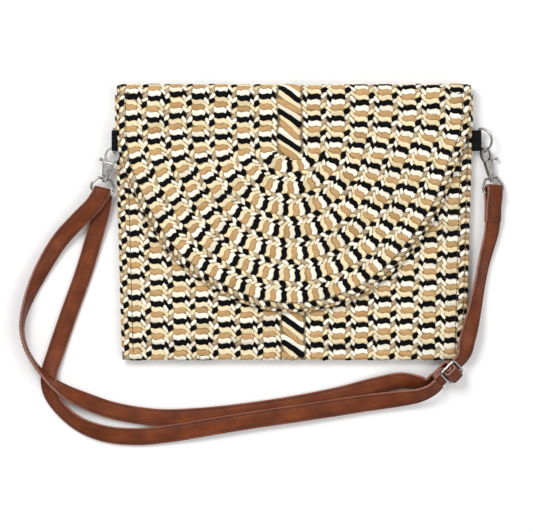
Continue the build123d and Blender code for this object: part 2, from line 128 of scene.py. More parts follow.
class Look:
    """A material whose node tree is put together step by step."""

    def __init__(self, name, roughness, metallic=0.0, sheen=0.0, gloss=0.5):
        self.material = bpy.data.materials.new(name)
        self.material.use_nodes = True
        self.nodes = self.material.node_tree.nodes
        self.link = self.material.node_tree.links.new
        self.shader = self.nodes["Principled BSDF"].inputs
        self.shader["Roughness"].default_value = roughness
        self.shader["Metallic"].default_value = metallic
        self.shader["Sheen Weight"].default_value = sheen
        self.shader["Specular IOR Level"].default_value = gloss

    def add(self, kind, **settings):
        node = self.nodes.new("ShaderNode" + kind)
        for key, value in settings.items():
            if key in node.inputs:
                node.inputs[key].default_value = value
            else:
                setattr(node, key, value)
        return node

    def attribute(self, name, output="Vector"):
        return self.add("Attribute", attribute_name=name).outputs[output]

    def texture(self, kind, source="Object", stretch=(1, 1, 1), **settings):
        """A texture over a coordinate, which is stretched for a grain that runs one way."""
        node = self.add("Tex" + kind, **settings)
        mapping = self.add("Mapping", Scale=stretch)
        found = self.add("TexCoord").outputs["Object"] if source == "Object" else self.attribute(source)
        self.link(found, mapping.inputs["Vector"])
        self.link(mapping.outputs["Vector"], node.inputs["Vector"])
        return node.outputs["Distance" if kind == "Voronoi" else "Fac"]

    def ramp(self, factor, *stops):
        node = self.add("ValToRGB")
        elements = node.color_ramp.elements
        while len(elements) < len(stops):
            elements.new(0.5)
        for element, (place, colour) in zip(elements, stops):
            element.position = place
            element.color = (*colour, 1)
        self.link(factor, node.inputs["Fac"])
        return node.outputs["Color"]

    def multiply(self, first, *others):
        for other in others:
            node = self.add("Mix", data_type="RGBA", blend_type="MULTIPLY")
            node.inputs["Factor"].default_value = 1.0
            self.link(first, node.inputs["A"])
            self.link(other, node.inputs["B"])
            first = node.outputs["Result"]
        return first

    def finish(self, colour, height, strength, distance):
        """Links the colour and the bump."""
        self.link(colour, self.shader["Base Color"])
        node = self.add("Bump", Strength=strength, Distance=distance)
        self.link(height, node.inputs["Height"])
        self.link(node.outputs["Normal"], self.shader["Normal"])
        return self.material


def straw_material(tone, colour, roughness):
    """Twisted paper straw: fine fibres along each strand, painted shade that darkens each strand's rim and ends, and
    a tone of its own per strand.
    """
    look = Look("straw_" + tone, roughness, gloss=0.06 if tone == "black" else 0.25)
    fibres = look.texture("Noise", "strand", (190, 1300, 30), Scale=1.0, Detail=6.0, Roughness=0.7)
    low, high = {"black": (0.4, 2.2), "tan": (0.42, 1.25)}.get(tone, (0.70, 1.06))
    body = look.ramp(fibres, (0.25, shade(colour, low)), (0.5, colour), (0.8, shade(colour, high)))
    split = look.add("SeparateXYZ")
    look.link(look.attribute("strand"), split.inputs[0])
    own = look.ramp(split.outputs["Z"], (0.0, (0.80, 0.76, 0.68)), (0.3, (0.97, 0.96, 0.94)), (0.8, WHITE),
                    (1.0, (1, 0.95, 0.87)))
    # painted shade: each strand darkens towards its sides and tucked ends, standing for the shade in the gaps
    # between strands
    rim = look.ramp(look.attribute("rim", "Fac"), (0.0, WHITE), (0.62, WHITE), (0.85, (0.74, 0.68, 0.57)),
                    (1.0, (0.34, 0.27, 0.18)))
    return look.finish(look.multiply(body, own, rim), fibres, 0.7, 0.0004)


def shaded_backing_material():
    """What shows between the strands: the turned-under straw, criss-crossed, in dark browns that are painted shade
    of the gaps between strands.
    """
    look = Look("straw_under_painted_shade", 0.85)
    wave = look.texture("Wave", Scale=340.0, Distortion=3.0, Detail=3.0, bands_direction="DIAGONAL")
    noise = look.texture("Noise", Scale=220.0, Detail=4.0)
    # painted shade: the under-strands' dark browns stand for the shade in the gaps
    strands = look.ramp(wave, (0.1, (0.10, 0.07, 0.04)), (0.6, (0.34, 0.26, 0.16)))
    patches = look.ramp(noise, (0.35, (0.6, 0.58, 0.52)), (0.6, WHITE))
    return look.finish(look.multiply(strands, patches), wave, 0.6, 0.0004)


def cloth_material(name, dark, light, threads, roughness=0.85, strength=0.5):
    """A plain weave of round threads, over and under, with slubs."""
    look = Look(name, roughness, gloss=0.15)
    weave = look.add("Math", operation="MULTIPLY")
    for socket, axis in zip(weave.inputs, ("X", "Y")):
        look.link(look.texture("Wave", Scale=threads, Distortion=0.6, Detail=1.0, bands_direction=axis), socket)
    slub = look.texture("Noise", "Object", (1, 4, 1), Scale=130.0, Detail=5.0)
    cloth = look.ramp(weave.outputs[0], (0.0, dark), (0.55, light))
    slubs = look.ramp(slub, (0.3, grey(0.82)), (0.65, WHITE))
    return look.finish(look.multiply(cloth, slubs), weave.outputs[0], strength, 0.0002)


def leather_material():
    """Pebbled imitation leather: small cells with painted shade in the creases between them, a cloudy tone and
    slightly worn rims.
    """
    look = Look("strap_leather", 0.42, gloss=0.2)
    cells = look.texture("Voronoi", "strand", (1150, 1150, 1150), Scale=1.0, feature="DISTANCE_TO_EDGE")
    cloud = look.texture("Noise", "strand", (60, 90, 60), Scale=1.0, Detail=5.0)
    base = look.ramp(cloud, (0.3, (0.12, 0.025, 0.006)), (0.55, (0.19, 0.042, 0.0105)),
                     (0.8, (0.27, 0.066, 0.018)))
    # painted shade: the grooves between the cells darkened
    crease_shade = look.ramp(cells, (0.0, (0.62, 0.6, 0.6)), (0.16, WHITE))
    worn = look.ramp(look.attribute("rim", "Fac"), (0.0, WHITE), (0.8, WHITE), (1.0, (1.0, 0.98, 0.96)))
    look.link(look.ramp(cloud, (0.3, grey(0.5)), (0.8, grey(0.34))), look.shader["Roughness"])
    return look.finish(look.multiply(base, crease_shade, worn), cells, 0.35, 0.0002)


def edge_paint_material():
    """The strap's painted edges, a little lighter and rubbed."""
    look = Look("strap_edge", 0.5)
    noise = look.texture("Noise", "strand", (500, 1500, 500), Scale=1.0, Detail=6.0)
    base = look.ramp(noise, (0.3, (0.16, 0.055, 0.035)), (0.55, (0.30, 0.125, 0.085)), (0.75, (0.42, 0.2, 0.14)))
    return look.finish(base, noise, 0.3, 0.0002)


def thread_material(name, dark, light):
    look = Look(name, 0.6, sheen=0.2)
    twist = look.texture("Wave", Scale=1400.0, Distortion=1.0, bands_direction="DIAGONAL")
    return look.finish(look.ramp(twist, (0.2, dark), (0.8, light)), twist, 0.5, 0.0001)


def metal_material(name, dark, light, roughness):
    """Plated metal: faint polishing lines and a duller tone where it is handled."""
    look = Look(name, roughness, metallic=1.0)
    lines = look.texture("Noise", "Object", (900, 250, 900), Scale=1.0, Detail=4.0)
    cloud = look.texture("Noise", Scale=170.0, Detail=3.0)
    spread = look.ramp(lines, (0.3, grey(roughness * 0.8)), (0.75, grey(roughness * 1.5)))
    look.link(spread, look.shader["Roughness"])
    return look.finish(look.ramp(cloud, (0.3, dark), (0.6, light)), lines, 0.12, 0.0001)


def floor_material():
    look = Look("paper_floor", 0.9)
    noise = look.add("TexNoise", Scale=900.0, Detail=2.0).outputs["Fac"]
    look.link(look.ramp(noise, (0.0, grey(0.94)), (1.0, grey(0.97))), look.shader["Base Color"])
    return look.material


STRAW = [  # in the order of the tones, and a darker tan of painted shade for the short tucks between rungs
    straw_material("black", (0.0035, 0.003, 0.004), 0.7),
    straw_material("cream", (0.88, 0.76, 0.50), 0.6),
    straw_material("tan", (0.56, 0.345, 0.15), 0.6),
    straw_material("ivory", (0.96, 0.93, 0.82), 0.6),
    # painted shade: a darker copy of the tan for its tucks, which lie in shade between the rungs
    straw_material("shaded_tan", (0.47, 0.36, 0.23), 0.6),
]
SHADED_BACKING = shaded_backing_material()
LINING = cloth_material("cotton_lining", (0.42, 0.34, 0.24), (0.72, 0.63, 0.49), 900.0)
WEBBING = cloth_material("ribbed_webbing", (0.002, 0.002, 0.003), (0.012, 0.012, 0.014), 520.0, 0.75, 1.0)
LEATHER = leather_material()
EDGE_PAINT = edge_paint_material()
STITCH = thread_material("strap_thread", (0.018, 0.003, 0.003), (0.045, 0.009, 0.008))
BLACK_THREAD = thread_material("black_thread", (0.004, 0.004, 0.005), (0.03, 0.03, 0.035))
NICKEL = metal_material("bright_nickel", (0.20, 0.19, 0.18), (0.42, 0.41, 0.39), 0.2)
STEEL = metal_material("plain_steel", (0.2, 0.2, 0.2), (0.4, 0.4, 0.39), 0.34)
SNAP = metal_material("brushed_snap", (0.13, 0.125, 0.12), (0.3, 0.29, 0.28), 0.42)
FERRITE = metal_material("ferrite", (0.05, 0.05, 0.05), (0.12, 0.12, 0.12), 0.6)


# Meshes

def make_object(name, verts, faces, mats, face_mats=None, strand=None, rim=None):
    mesh = bpy.data.meshes.new(name)
    mesh.from_pydata([tuple(v) for v in verts], [], [tuple(f) for f in faces])
    for mat in mats:
        mesh.materials.append(mat)
    if face_mats is not None:
        mesh.polygons.foreach_set("material_index", np.asarray(face_mats, np.int32))
    if strand is not None:
        layer = mesh.attributes.new("strand", "FLOAT_VECTOR", "POINT")
        layer.data.foreach_set("vector", np.asarray(strand, np.float32).ravel())
        layer = mesh.attributes.new("rim", "FLOAT", "POINT")
        layer.data.foreach_set("value", np.asarray(rim, np.float32).ravel())
    mesh.polygons.foreach_set("use_smooth", [True] * len(mesh.polygons))
    mesh.update()
    item = bpy.data.objects.new(name, mesh)
    bpy.context.scene.collection.objects.link(item)
    return item


def settle(item, body, slot, *nodes):
    if nodes:
        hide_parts(*nodes)
    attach(item, body)
    return item


def stack(*parts):
    """Arrays or numbers of one shape, as points."""
    return np.stack(np.broadcast_arrays(*parts), -1)


def unit(rows):
    return rows / np.linalg.norm(rows, axis=1)[:, None]


def arc(points):
    """The length along a line at each of its points."""
    return np.concatenate([[0], np.cumsum(np.linalg.norm(np.diff(points, axis=0), axis=1))])


def read_off(at, s, rows):
    """Rows known at the lengths s, at other lengths."""
    return np.stack([np.interp(at, s, column) for column in np.transpose(rows)], -1)


def evenly(samples, step):
    s = arc(samples[:, :3])
    count = max(4, int(round(s[-1] / step)))
    return read_off(np.linspace(0, s[-1], count + 1), s, samples)


def grid_faces(rows, columns, start=0):
    i, j = np.meshgrid(np.arange(rows - 1), np.arange(columns - 1), indexing="ij")
    a = start + i * columns + j
    return np.stack([a, a + 1, a + columns + 1, a + columns], axis=-1).reshape(-1, 4)


def sheet(name, over, under, mat):
    """A closed thin sheet between two grids of points."""
    rows, columns = over.shape[:2]
    n = rows * columns
    ids = np.arange(n).reshape(rows, columns)
    ring = np.concatenate([ids[0], ids[1:, -1], ids[-1, -2::-1], ids[-2:0:-1, 0]])
    faces = [*grid_faces(rows, columns), *grid_faces(rows, columns, n)[:, ::-1]]
    faces += [(a, a + n, b + n, b) for a, b in zip(ring, np.roll(ring, -1))]
    return make_object(name, np.concatenate([over.reshape(-1, 3), under.reshape(-1, 3)]), faces, [mat])


def tube(verts, faces, centres, radii, side, up, sides):
    """Adds a straight open tube of rings. Returns the number of its first vertex."""
    base = len(verts)
    turns = np.linspace(0, 2 * math.pi, sides, endpoint=False)
    for p, r in zip(centres, radii):
        verts += [p + r * (math.cos(a) * side + math.sin(a) * up) for a in turns]
    for k in range(len(centres) - 1):
        for j in range(sides):
            a, b = base + k * sides + j, base + k * sides + (j + 1) % sides
            faces.append((a, b, b + sides, a + sides))
    return base


def dashes(name, points, mat, body, slot, length=2.8 * MM, gap=0.5 * MM, radius=0.33 * MM, lift=0.25 * MM):
    """A row of stitches: short sunk-ended threads along a line."""
    points = np.array(points)
    s = arc(points)
    rings, sides = 5, 6
    swell = np.sin(np.linspace(0, math.pi, rings))
    radii = [radius * (0.6 + 0.4 * math.sin(math.pi * k / (rings - 1))) for k in range(rings)]
    verts, faces = [], []
    for start in np.arange(0, s[-1] - length, length + gap):
        line = read_off(start + np.linspace(0, 1, rings) * length, s, points)
        line[:, 2] += lift * swell
        along = line[-1] - line[0]
        along /= np.linalg.norm(along)
        side = np.cross(along, (0, 0, 1))
        side /= max(np.linalg.norm(side), 1e-9)
        base = tube(verts, faces, line, radii, side, np.cross(side, along), sides)
        faces.append(tuple(base + j for j in range(sides))[::-1])
        faces.append(tuple(base + (rings - 1) * sides + j for j in range(sides)))
    return settle(make_object(name, verts, faces, [mat]), body, slot)


# The braid

class Pillows:
    """Gathers many small padded strands into one mesh. Each is a centre line in a column's own
    coordinates, across u and along v, with a width, and is laid on a surface by a function."""

    ACROSS = np.array([-1.0, -0.8, 0.0, 0.8, 1.0])
    SUNK = 0.12 * MM  # how far a strand's rim lies below the surface

    def __init__(self):
        self.verts, self.faces, self.mats, self.strand, self.rims = [], [], [], [], []
        self.count = 0

    def template(self, line, half, height, samples=7, taper=0.28, blunt=6):
        """line: points (u, v). Returns u, v, height and the strand's own coordinates for one strand.
        taper is how much narrower the ends are, and a lower blunt starts the taper earlier."""
        t = np.linspace(0, 1, samples)
        u, v = read_off(t, np.linspace(0, 1, len(line)), line).T
        du, dv = np.gradient(u), np.gradient(v)
        size = np.hypot(du, dv)
        from_middle = np.abs(2 * t - 1)[:, None]
        across = self.ACROSS * half * (1 - taper * from_middle**blunt)
        uu = u[:, None] - (dv / size)[:, None] * across
        vv = v[:, None] + (du / size)[:, None] * across
        crown = np.sqrt(np.clip(1 - 0.98 * self.ACROSS**2, 0, 1))
        hh = height * crown * (1 - 0.88 * from_middle**6) - self.SUNK
        along = np.broadcast_to(arc(stack(u, v))[:, None], uu.shape)
        # how near a point is to the strand's side or end, where the straw material paints shade
        rim = np.maximum(np.abs(self.ACROSS), from_middle**8)
        return uu, vv, hh, along, across, rim

    def lay(self, shape, offsets, tones, surface):
        """Copies one template to every offset along the column."""
        uu, vv, hh, along, across, rim = shape
        rows, columns = uu.shape
        n = len(offsets)
        wobble = rng.normal(0, 0.16 * MM, (n, 1, 1))
        fat = 1 + rng.normal(0, 0.05, (n, 1, 1))
        own = rng.random((n, 1, 1))
        turn = rng.normal(0, math.radians(3.5), (n, 1, 1))
        middle_u = uu.mean()
        du, dv = uu[None] - middle_u, vv[None] * fat
        u = middle_u + du * np.cos(turn) - dv * np.sin(turn) + rng.normal(0, 0.14 * MM, (n, 1, 1))
        v = offsets[:, None, None] + du * np.sin(turn) + dv * np.cos(turn) + wobble
        h = hh[None] * (1 + rng.normal(0, 0.16, (n, 1, 1)))
        self.verts.append(surface(u, v, h).reshape(-1, 3))
        base = grid_faces(rows, columns)
        shift = self.count + np.arange(n)[:, None, None] * rows * columns
        self.faces.append((base[None] + shift).reshape(-1, 4))
        self.mats.append(np.repeat(np.asarray(tones), len(base)))
        self.strand.append(stack(along[None] + own * 3, across[None], own).reshape(-1, 3))
        self.rims.append(np.broadcast_to(rim[None], u.shape).reshape(-1))
        self.count += n * rows * columns

    def build(self, name):
        verts, faces, *others = map(np.concatenate, (self.verts, self.faces, self.mats, self.strand, self.rims))
        return make_object(name, verts, faces, STRAW, *others)


# A braid column's strand shapes. One tone repeats every fourth step.
RUNG = MM * np.array([(-6, -0.9), (-4.4, -0.55), (-2.4, 0.5), (0, 0.1), (2.4, -0.5), (4.4, 0.45), (6, 1.2)])
SLASH = MM * np.array([(-9.8, 2.5), (-8.6, 1.0), (-6.8, -1.0), (-5.6, -2.3)])
SLIVER = MM * np.array([(5.3, -3.2), (6.6, -1.6), (8.2, 0.4), (9.7, 2.3)])
DIAGONAL = MM * np.array([(-10.2, -6.9), (-7.4, -5.9), (-3.6, -2.4), (0, -0.3), (3.6, 2.8), (7, 5.4), (9.4, 6.6)])

# Each tone's rung: its width and height as a share of the usual, how far its ends narrow, and how late
RUNG_SHAPES = ((1.14, 1.0, 0.25, 6), (1.08, 0.62, 0.1, 6), (1.3, 1.1, 0.55, 2.4), (1.2, 0.68, 0.1, 6))
# the tan's tucks take the darker tan of painted shade
SLASH_TONES = np.array([0, 1, 4, 3])
SLIVER_TONES = np.array([0, 3, 1, 3])
SLASH_SHIFT, SLIVER_SHIFT = 5.9 * MM, -0.8 * MM


def braid_column(pillows, surface, start, end, phase):
    """Fills one column from start to end along its length."""
    def spots(shift):
        first = math.ceil((start - phase - shift) / STEP)
        last = math.floor((end - phase - shift) / STEP)
        steps = np.arange(first, last + 1)
        return phase + steps * STEP + shift, steps % 4

    places, tones = spots(SLIVER_SHIFT)
    pillows.lay(pillows.template(SLIVER, 1.5 * MM, PILLOW * 0.7, 5), places, SLIVER_TONES[tones], surface)
    places, tones = spots(SLASH_SHIFT)
    for tone in (1, 3, 2, 0):
        mine = places[tones == tone]
        half, high = (2.25, 1.0) if tone == 0 else (1.75, 0.7)
        slash = pillows.template(SLASH, half * MM, PILLOW * high, 5)
        pillows.lay(slash, mine, np.full(len(mine), SLASH_TONES[tone]), surface)
    places, tones = spots(0)
    for tone, (wide, high, taper, blunt) in enumerate(RUNG_SHAPES):
        mine = places[tones == tone]
        rung = pillows.template(RUNG, 2.1 * MM * wide, PILLOW * high, 7, taper, blunt)
        pillows.lay(rung, mine, np.full(len(mine), tone), surface)


def diagonal_column(pillows, surface, start, end):
    """The middle column, whose strands all slant one way."""
    steps = np.arange(math.ceil(start / DIAGONAL_STEP), math.floor(end / DIAGONAL_STEP) + 1)
    for tone, (wide, high, taper, blunt) in enumerate(RUNG_SHAPES):
        mine = steps[steps % 4 == tone]
        shape = pillows.template(DIAGONAL, 2.35 * MM * wide, PILLOW * 1.1 * high, 9, taper * 0.8, blunt)
        pillows.lay(shape, mine * DIAGONAL_STEP, np.full(len(mine), tone), surface)


def wrap_row(pillows, reach, steps, surface):
    """Slanting strands that wrap an edge, one at every step."""
    shape = pillows.template([(-reach, -1.6 * MM), (0, 0), (reach, 1.6 * MM)], 2.05 * MM, PILLOW * 0.8)
    pillows.lay(shape, steps * STEP, steps % 4, surface)


# The body

def half_width(y):
    share = (y - BOTTOM_Y) / (TOP_Y - BOTTOM_Y)
    return BOTTOM_HALF + share * (TOP_HALF - BOTTOM_HALF)


def front_height(x, y):
    """The front panel's outside: flat in the middle, sloping to the sewn strip and rounded at its edge."""
    inside = np.minimum(half_width(y) - np.abs(x), y - BOTTOM_Y)
    rise = np.clip((inside - 9 * MM) / (11 * MM), 0, 1)
    rise = rise * rise * (3 - 2 * rise)
    short = EDGE - np.clip(inside, 0, EDGE)
    return SEAM_Z + np.sqrt(np.maximum(EDGE**2 - short**2, 0)) + rise * (FRONT_Z - SEAM_Z - WEAVE)


def body_surface(column_x, up):
    """Maps a straight column round the purse: down the front, round the bottom edge and up the rear.
    v runs downwards from the mouth on the left half and upwards on the right half."""
    front = MOUTH_Y - (BOTTOM_Y + EDGE)
    turn = math.pi * EDGE

    def place(u, v, h):
        v = -v if up else v
        u = -u if up else u
        y = np.where(v < front, MOUTH_Y - v, BOTTOM_Y + EDGE)
        angle = np.clip((v - front) / EDGE, 0, math.pi)
        y = y - EDGE * np.sin(angle)
        back = v > front + turn
        y = np.where(back, BOTTOM_Y + EDGE + (v - front - turn), y)
        x = (column_x + u + 0.5 * MM * np.sin(v * 230 + column_x * 900)) * half_width(y) / TOP_HALF
        top = front_height(x, np.maximum(y, BOTTOM_Y + EDGE))
        on_front = v <= front
        z = np.where(on_front, top + h, SEAM_Z + (EDGE + h) * np.cos(angle))
        z = np.where(back, 2 * SEAM_Z - top - h + LIFT, z)
        y = np.where(on_front | back, y, y - h * np.sin(angle))
        return stack(x, y, z)

    return place


def body_braid():
    front_length = MOUTH_Y - BOTTOM_Y - EDGE
    whole = front_length + math.pi * EDGE + HINGE_Y - BOTTOM_Y - EDGE
    shifts = rng.uniform(0, 6, 7) * MM
    turn = front_length + 4 * MM
    spans = (("front_braid", 1.5 * MM, turn, 5 * MM, 0), ("rear_braid", turn, whole - HINGE_CLEAR, 0, 4 * MM))
    for name, start, end, head, tail in spans:
        pillows = Pillows()
        for x, phase in zip(BODY_COLUMNS, shifts):
            braid_column(pillows, body_surface(BODY_CENTRE - x, False), start, end, phase)
            braid_column(pillows, body_surface(BODY_CENTRE + x, True), -end, -start, -phase)
        diagonal_column(pillows, body_surface(BODY_CENTRE, False), start + head, end - tail)
        settle(pillows.build(name), "purse", "straw")


def clustered(n):
    """From -1 to 1, closer together at both ends."""
    return np.sin(np.linspace(-1, 1, n) * math.pi / 2)


def body_grid(top_y):
    share = np.concatenate([np.linspace(0, 1, 12)[:-1] ** 2 * 0.1, np.linspace(0.1, 1, 60)])
    y, s = np.meshgrid(BOTTOM_Y + share * (top_y - BOTTOM_Y), clustered(140), indexing="ij")
    return s * half_width(y), y


def body_shell():
    """The turned-under straw between the strands, front and rear, meeting along three sewn sides, coloured with
    painted shade.
    """
    for name, node, top_y, flip in (("front_under", "front_panel", MOUTH_Y, 1),
                                    ("rear_under", "rear_panel", HINGE_Y, -1)):
        x, y = body_grid(top_y)
        outer = front_height(x, y) - SEAM_Z
        inner = np.maximum(outer - 2.45 * MM, 0)
        if flip < 0:
            outer = outer - LIFT * np.clip(outer / EDGE, 0, 1)
            y = np.minimum(y, HINGE_Y - SHEET_CLEAR)
        over, under = (stack(x, y, SEAM_Z + flip * height) for height in (outer, np.minimum(inner, outer)))
        settle(sheet(name, over, under, SHADED_BACKING), "purse", "straw", node)


def body_lining():
    """The cloth bag inside, slightly puckered."""
    hem, narrower, shorter = 5 * MM, 0.965, 0.97
    for name, node, top_y, flip in (("front_cloth", "front_lining", MOUTH_Y - 2 * MM, 1),
                                    ("rear_cloth", "rear_lining", MOUTH_Y + 4 * MM, -1)):
        x, y = body_grid(top_y)
        pucker = 0.16 * MM * np.sin(x * 310 + 2 * np.sin(y * 90)) * np.sin(y * 140 + 1.3)
        x, up = x * narrower, y - BOTTOM_Y
        outer = front_height(x, BOTTOM_Y + up * shorter + hem) - SEAM_Z - 2.75 * MM + pucker
        outer = np.maximum(outer, 0.2 * MM)
        inner = np.maximum(outer - 0.4 * MM, 0.05 * MM)
        y = BOTTOM_Y + hem + up * (top_y - BOTTOM_Y - hem) / (top_y - BOTTOM_Y)
        over, under = (stack(x, y, SEAM_Z + flip * height) for height in (outer, inner))
        settle(sheet(name, over, under, LINING), "purse", "lining", node)


def slip_pocket():
    """The flat pocket on the lining, puckered, with its hem and a row of stitches below the mouth."""
    low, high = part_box("slip_pocket")
    y, x = np.meshgrid(np.linspace(low[1], high[1], 60), np.linspace(low[0], high[0], 80), indexing="ij")
    hem = np.clip((y - high[1] + 8 * MM) / (1 * MM), 0, 1)
    top = high[2] - 0.1 * MM + 0.1 * MM * hem + 0.05 * MM * np.sin(x * 300 + 2 * np.sin(y * 110))
    item = sheet("pocket_cloth", stack(x, y, top), stack(x, y, low[2] + 0.05 * MM), LINING)
    settle(item, "purse", "lining", "slip_pocket")
    line = stack(np.linspace(low[0], high[0], 60), high[1] - 8.5 * MM, high[2] + 0.05 * MM)
    dashes("pocket_stitches", line, BLACK_THREAD, "purse", "lining", 2.2 * MM, 0.8 * MM, 0.15 * MM, 0.05 * MM)


def side_seams():
    for side, name in ((-1, "left"), (1, "right")):
        y = np.linspace(MOUTH_Y, BOTTOM_Y + 3 * MM, 60)
        x = side * (half_width(y) - 9.3 * MM)
        line = stack(x, y, front_height(x, y) + SEW_HEIGHT)
        dashes(name + "_seam", line, BLACK_THREAD, "purse", "straw")


# The flap and the fold it hangs on

SWEEP = np.radians(np.linspace(158, 382, 181))  # round the flap's end, from the left side to the right


def bearing(x, y):
    """The angle about the flap's centre, counted on past the right side as SWEEP is."""
    angle = np.arctan2(y - FLAP_CENTRE_Y, x) % (2 * math.pi)
    return np.where(angle < math.pi / 2, angle + 2 * math.pi, angle)


def smoothed(values, reach):
    """A running mean over reach values to each side."""
    count = 2 * reach + 1
    return np.convolve(np.pad(values, reach, mode="edge"), np.ones(count) / count, "valid")


def flap_outline():
    """The flap's edge as a radius by angle about a point on its middle line, read from its CAD node."""
    points = np.array([v.co[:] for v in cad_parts["flap_panel"].data.vertices])
    x, y = points[:, 0], points[:, 1]
    angle, radius = bearing(x, y), np.hypot(x, y - FLAP_CENTRE_Y)
    edge = (np.abs(y - HINGE_Y) > 1 * MM) & (radius > 100 * MM)
    best = np.full(len(SWEEP), np.nan)
    for i, a in enumerate(SWEEP):
        near = radius[edge & (np.abs(angle - a) < math.radians(1.0))]
        if len(near):
            best[i] = near.max()
    known = ~np.isnan(best)
    best = np.interp(SWEEP, SWEEP[known], best[known])
    side = FLAP_HALF / np.abs(np.cos(SWEEP))
    straight = (SWEEP < math.radians(168)) | (SWEEP > math.radians(377))
    return smoothed(np.where(straight, side, np.minimum(best, side)), 3)


OUTLINE = flap_outline()


def flap_height(x):
    """The flap's top, which droops beyond the body's sloping sides."""
    return FLAP_TOP - 1.8 * MM * np.clip((np.abs(x) - 128 * MM) / (19.5 * MM), 0, 1.5)


def edge_point(angle, inset):
    r = np.interp(angle, SWEEP, OUTLINE) - inset
    return stack(r * np.cos(angle), FLAP_CENTRE_Y + r * np.sin(angle))


def with_sides(curve, reach=0.0):
    """A U-shaped line from the fold, down, round and back up to the fold, or on past it."""
    top = HINGE_Y + reach
    left = stack(curve[0, 0], np.linspace(top, curve[0, 1], 30))
    right = stack(curve[-1, 0], np.linspace(curve[-1, 1], top, 30))
    return np.concatenate([left[:-1], curve, right[1:]])


def ring_path(t):
    """A U-shaped column: t is 0 at the flap's edge and 1 at the innermost."""
    outer = edge_point(SWEEP, 11.9 * MM)
    angle = np.clip(SWEEP, math.pi, 2 * math.pi)
    rise = np.degrees(np.maximum(math.pi - SWEEP, 0) + np.maximum(SWEEP - 2 * math.pi, 0)) * 1.9 * MM
    inner = stack(FLAP_CENTRE_X + 20.2 * MM * np.cos(angle), 60 * MM + 12.4 * MM * np.sin(angle) + rise)
    return with_sides((1 - t) * outer + t * inner, FOLD_REACH + 8 * MM)


def over_fold(x, y, h):
    """Lays a point of the flap's plane on it, or round the fold where it is past the hinge."""
    past = np.maximum(y - HINGE_Y, 0)
    angle = np.minimum(past / HINGE_Z, math.pi)
    r = HINGE_Z + h
    folded = past > 0
    z = np.where(folded, HINGE_Z + r * np.cos(angle), flap_height(x) + h)
    z = np.where(past > FOLD_REACH, z + LIFT, z)
    y = np.where(folded, HINGE_Y + r * np.sin(angle) - np.maximum(past - FOLD_REACH, 0), y)
    return stack(x, y, z)


def path_surface(path, widths):
    """Lays a column along a path in plan. v is 0 where the path leaves the fold."""
    s = arc(path)
    known = np.column_stack([path, unit(np.gradient(path, s, axis=0)), widths])
    s = s - (path[0, 1] - HINGE_Y)

    def place(u, v, h):
        x, y, tx, ty, wide = np.moveaxis(read_off(v, s, known), -1, 0)
        size = np.hypot(tx, ty)
        across = u * wide + 0.45 * MM * np.sin(v * 210 + path[0, 0] * 900)
        return over_fold(x - ty / size * across, y + tx / size * across, h)

    return place, s[-1] - max(path[-1, 1] - HINGE_Y, 0)


def fold_end_surface(side):
    """Round the fold's end at one side, from the back to the flap, over its rounded rim."""
    rim = WEAVE / 2

    def place(u, v, h):
        angle = v / HINGE_Z
        lean = u / rim
        r = HINGE_Z - rim + (rim + h) * np.sin(lean)
        x = side * (FLAP_HALF - rim + (rim + h) * np.cos(lean))
        return stack(x, HINGE_Y + r * np.sin(angle), HINGE_Z - r * np.cos(angle))

    return place


def bend(item, slot):
    """Bakes the transform of a piece that lies round the fold, between the back and the flap, into its mesh."""
    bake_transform(item)


def fold_backing():
    inside = HINGE_Z - WEAVE
    for name, node, outer, inner, half, mat, slot in (
            ("fold_under", "flap_fold", HINGE_Z, inside, FLAP_HALF, SHADED_BACKING, "straw"),
            ("fold_cloth", "fold_lining", inside, inside - 0.5 * MM, FLAP_HALF - 3.5 * MM, LINING, "lining")):
        x, a = np.meshgrid(np.linspace(-half, half, 100), np.linspace(0, math.pi, 25), indexing="ij")
        ripple = 0.07 * MM * np.sin(x * 420) * np.sin(2 * a)
        over, under = (stack(x, HINGE_Y + r * np.sin(a), HINGE_Z - r * np.cos(a))
                       for r in (outer + ripple, inner + ripple))
        item = sheet(name, over, under, mat)
        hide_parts(node)
        bend(item, slot)


def flap_braid():
    outer, inner, fold = Pillows(), Pillows(), Pillows()
    paths = [ring_path(i / 6) for i in range(7)]
    for i, path in enumerate(paths):
        other = paths[i + 1] if i < 6 else paths[i - 1]
        widths = smoothed(np.hypot(*(path - other).T) / (2 * COLUMN_HALF), 6)
        surface, length = path_surface(path, np.clip(widths, 0.78, 1.1))
        phase = rng.uniform(0, 4) * MM
        braid_column(outer if i < 2 else inner, surface, HINGE_CLEAR, length - HINGE_CLEAR, phase)
        braid_column(fold, surface, -FOLD_REACH - HINGE_CLEAR, HINGE_CLEAR, phase)
        braid_column(fold, surface, length - HINGE_CLEAR, length + FOLD_REACH + HINGE_CLEAR, phase)
    centre = stack(FLAP_CENTRE_X, np.linspace(HINGE_Y + FOLD_REACH, 53 * MM, 40))
    surface, length = path_surface(centre, np.ones(40))
    diagonal_column(inner, surface, 5.2 * MM, length + 1 * MM)
    diagonal_column(fold, surface, -FOLD_REACH, 5.2 * MM)
    for side in (-1, 1):
        wrap_row(fold, WEAVE, np.arange(math.floor(FOLD_REACH / STEP) + 1), fold_end_surface(side))
    settle(outer.build("flap_outer_braid"), "flap", "straw")
    settle(inner.build("flap_inner_braid"), "flap", "straw")
    bend(fold.build("fold_braid"), "straw")


